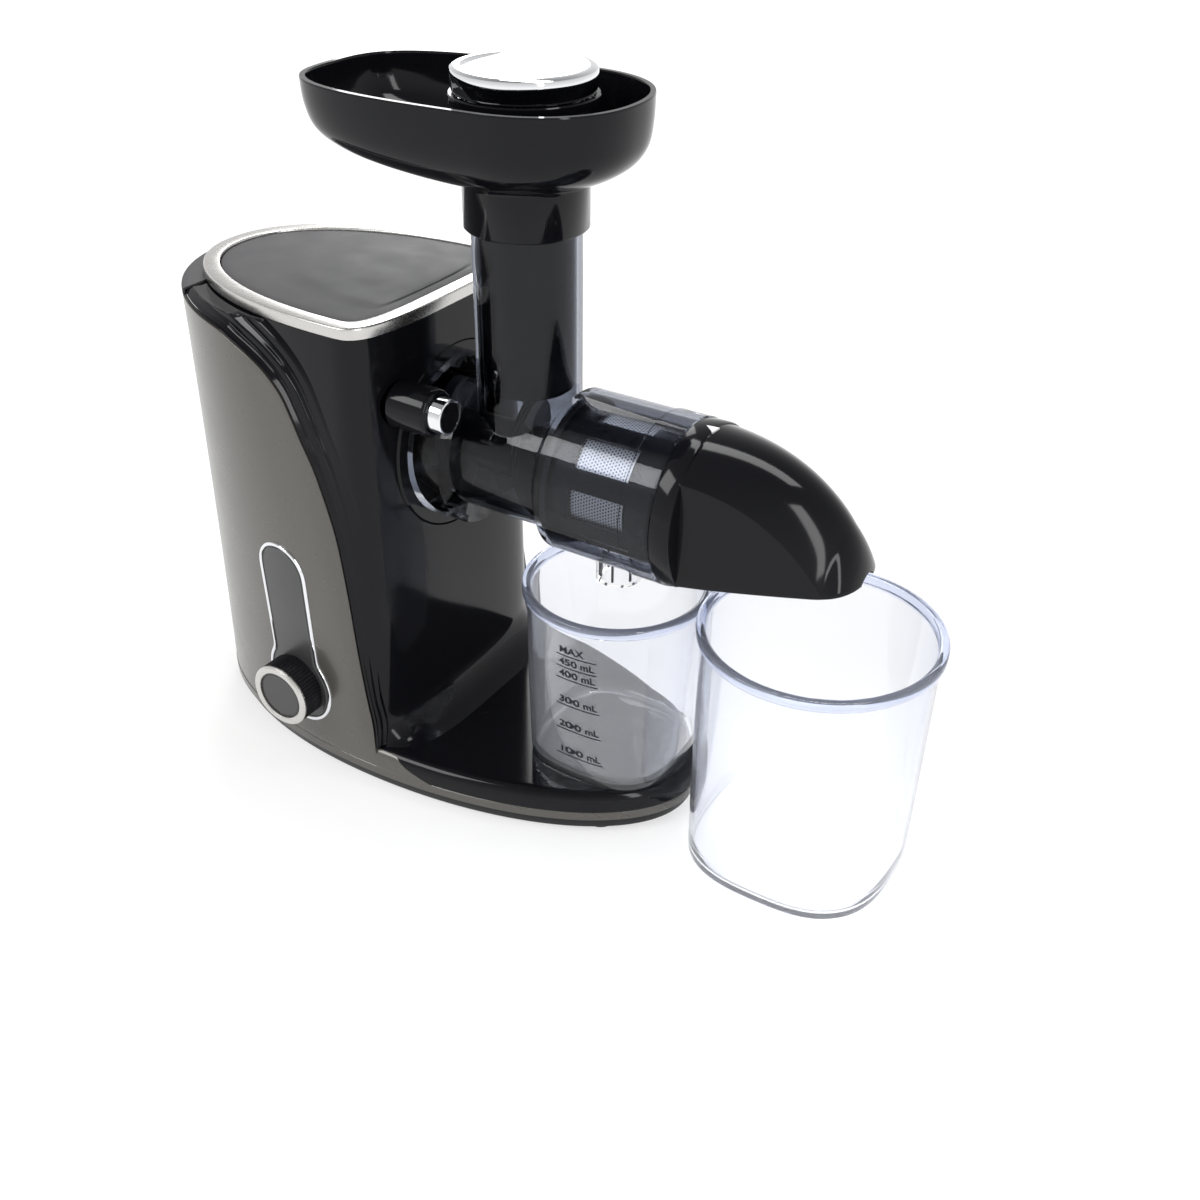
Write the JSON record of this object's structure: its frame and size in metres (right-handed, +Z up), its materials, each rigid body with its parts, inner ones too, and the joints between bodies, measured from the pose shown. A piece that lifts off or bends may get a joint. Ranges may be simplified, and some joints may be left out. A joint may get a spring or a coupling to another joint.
{
  "type": "cold press juicer",
  "caption": "Horizontal cold press juicer with a grey and black motor tower, smoky auger chamber, feed hopper with pusher, pulp spout and two clear cups.",
  "frame": {"origin": "centre of the footprint on the floor the feet and the pulp cup stand on", "axes": "+X along the auger from the tower to the spout, +Y away from the knob, +Z up"},
  "size_m": [0.4089, 0.162, 0.351],
  "materials": {
    "gloss_black": "gloss",
    "warm_grey": "gloss",
    "satin_grey": "satin",
    "ring_metal": "brushed",
    "chrome": "polished",
    "steel": "machined",
    "sieve": "perforated",
    "rubber": "matte",
    "nylon": "satin",
    "bronze": "machined",
    "board": "matte",
    "magnet": "matte",
    "smoke": "gloss",
    "clear": "gloss",
    "white": "matte"
  },
  "bodies": {
    "base": {"body_shell": "gloss_black", "side_panel": "warm_grey", "joint_trim": "gloss_black", "base_trim": "ring_metal", "bottom_cover": "gloss_black", "foot_pads": "rubber", "bottom_screws": "steel", "shoulder_plate": "satin_grey", "top_ring": "ring_metal", "top_plate": "satin_grey", "control_bezel": "chrome", "control_inlay": "satin_grey", "lock_flange": "gloss_black", "shaft_seal": "rubber", "button_housing": "gloss_black", "gearbox_case": "nylon", "gearbox_cover": "nylon", "gearbox_screws": "steel", "gearbox_bushes": "bronze", "motor_can": "steel", "motor_end_cap": "gloss_black", "stator_magnets": "magnet", "motor_cradle": "magnet", "rotary_switch": "nylon", "circuit_board": "board", "cord_gland": "rubber"},
    "rotor": {"rotor_core": "steel", "motor_shaft": "steel", "motor_pinion": "steel", "cooling_fan": "nylon"},
    "middle": {"middle_gear": "nylon", "middle_pinion": "steel", "middle_shaft": "steel"},
    "auger_drive": {"auger_gear": "nylon", "output_shaft": "steel", "auger": "gloss_black", "auger_shank": "steel"},
    "knob": {"knob_grip": "gloss_black", "knob_ring": "ring_metal", "knob_cap": "satin_grey", "knob_shaft": "steel"},
    "release_button": {"button_cap": "chrome", "button_stem": "steel", "button_spring": "steel"},
    "chamber": {"chamber_body": "smoke", "chamber_seal": "rubber", "spout_seal": "rubber", "strainer_frame": "gloss_black", "strainer_mesh": "sieve"},
    "spout": {"pulp_spout": "gloss_black", "lock_marker": "white"},
    "hopper": {"hopper": "gloss_black"},
    "pusher": {"pusher_stem": "gloss_black", "pusher_cap": "chrome"},
    "juice_cup": {"juice_cup": "clear"},
    "pulp_cup": {"pulp_cup": "clear"}
  },
  "joints": [
    {"name": "motor_spin", "type": "hinge", "parent": "base", "child": "rotor", "pos_m": [-0.1235, 0.005, 0.0895], "axis": [1, 0, 0], "continuous": true},
    {"name": "middle_spin", "type": "hinge", "parent": "base", "child": "middle", "pos_m": [-0.0835, 0.005, 0.127], "axis": [1, 0, 0], "continuous": true},
    {"name": "auger_spin", "type": "hinge", "parent": "base", "child": "auger_drive", "pos_m": [-0.0735, 0.005, 0.175], "axis": [1, 0, 0], "continuous": true},
    {"name": "knob_turn", "type": "hinge", "parent": "base", "child": "knob", "pos_m": [-0.1025, -0.06, 0.047], "axis": [0, 1, 0], "range_deg": [-45, 90]},
    {"name": "button_press", "type": "slide", "parent": "base", "child": "release_button", "axis": [-1, 0, 0], "range_m": [0, 0.004], "stiffness_N_per_m": 400, "deforming": ["button_spring"]},
    {"name": "chamber_twist", "type": "hinge", "parent": "base", "child": "chamber", "pos_m": [-0.0035, 0.005, 0.175], "axis": [1, 0, 0], "range_deg": [-40, 0]},
    {"name": "spout_twist", "type": "hinge", "parent": "chamber", "child": "spout", "pos_m": [0.0827, 0.005, 0.175], "axis": [1, 0, 0], "range_deg": [0, 30]},
    {"name": "hopper_lift", "type": "slide", "parent": "chamber", "child": "hopper", "axis": [0, 0, 1], "range_m": [0, 0.03]},
    {"name": "pusher_lift", "type": "slide", "parent": "hopper", "child": "pusher", "axis": [0, 0, 1], "range_m": [0, 0.1]},
    {"name": "juice_cup_slide", "type": "slide", "parent": "base", "child": "juice_cup", "axis": [0, -1, 0], "range_m": [0, 0.15]},
    {"name": "pulp_cup_slide", "type": "slide", "parent": "base", "child": "pulp_cup", "axis": [1, 0, 0], "range_m": [0, 0.15]}
  ],
  "couplings": [
    {"joint": "middle_spin", "follows": "motor_spin", "ratio": -0.25},
    {"joint": "auger_spin", "follows": "motor_spin", "ratio": 0.057692}
  ]
}
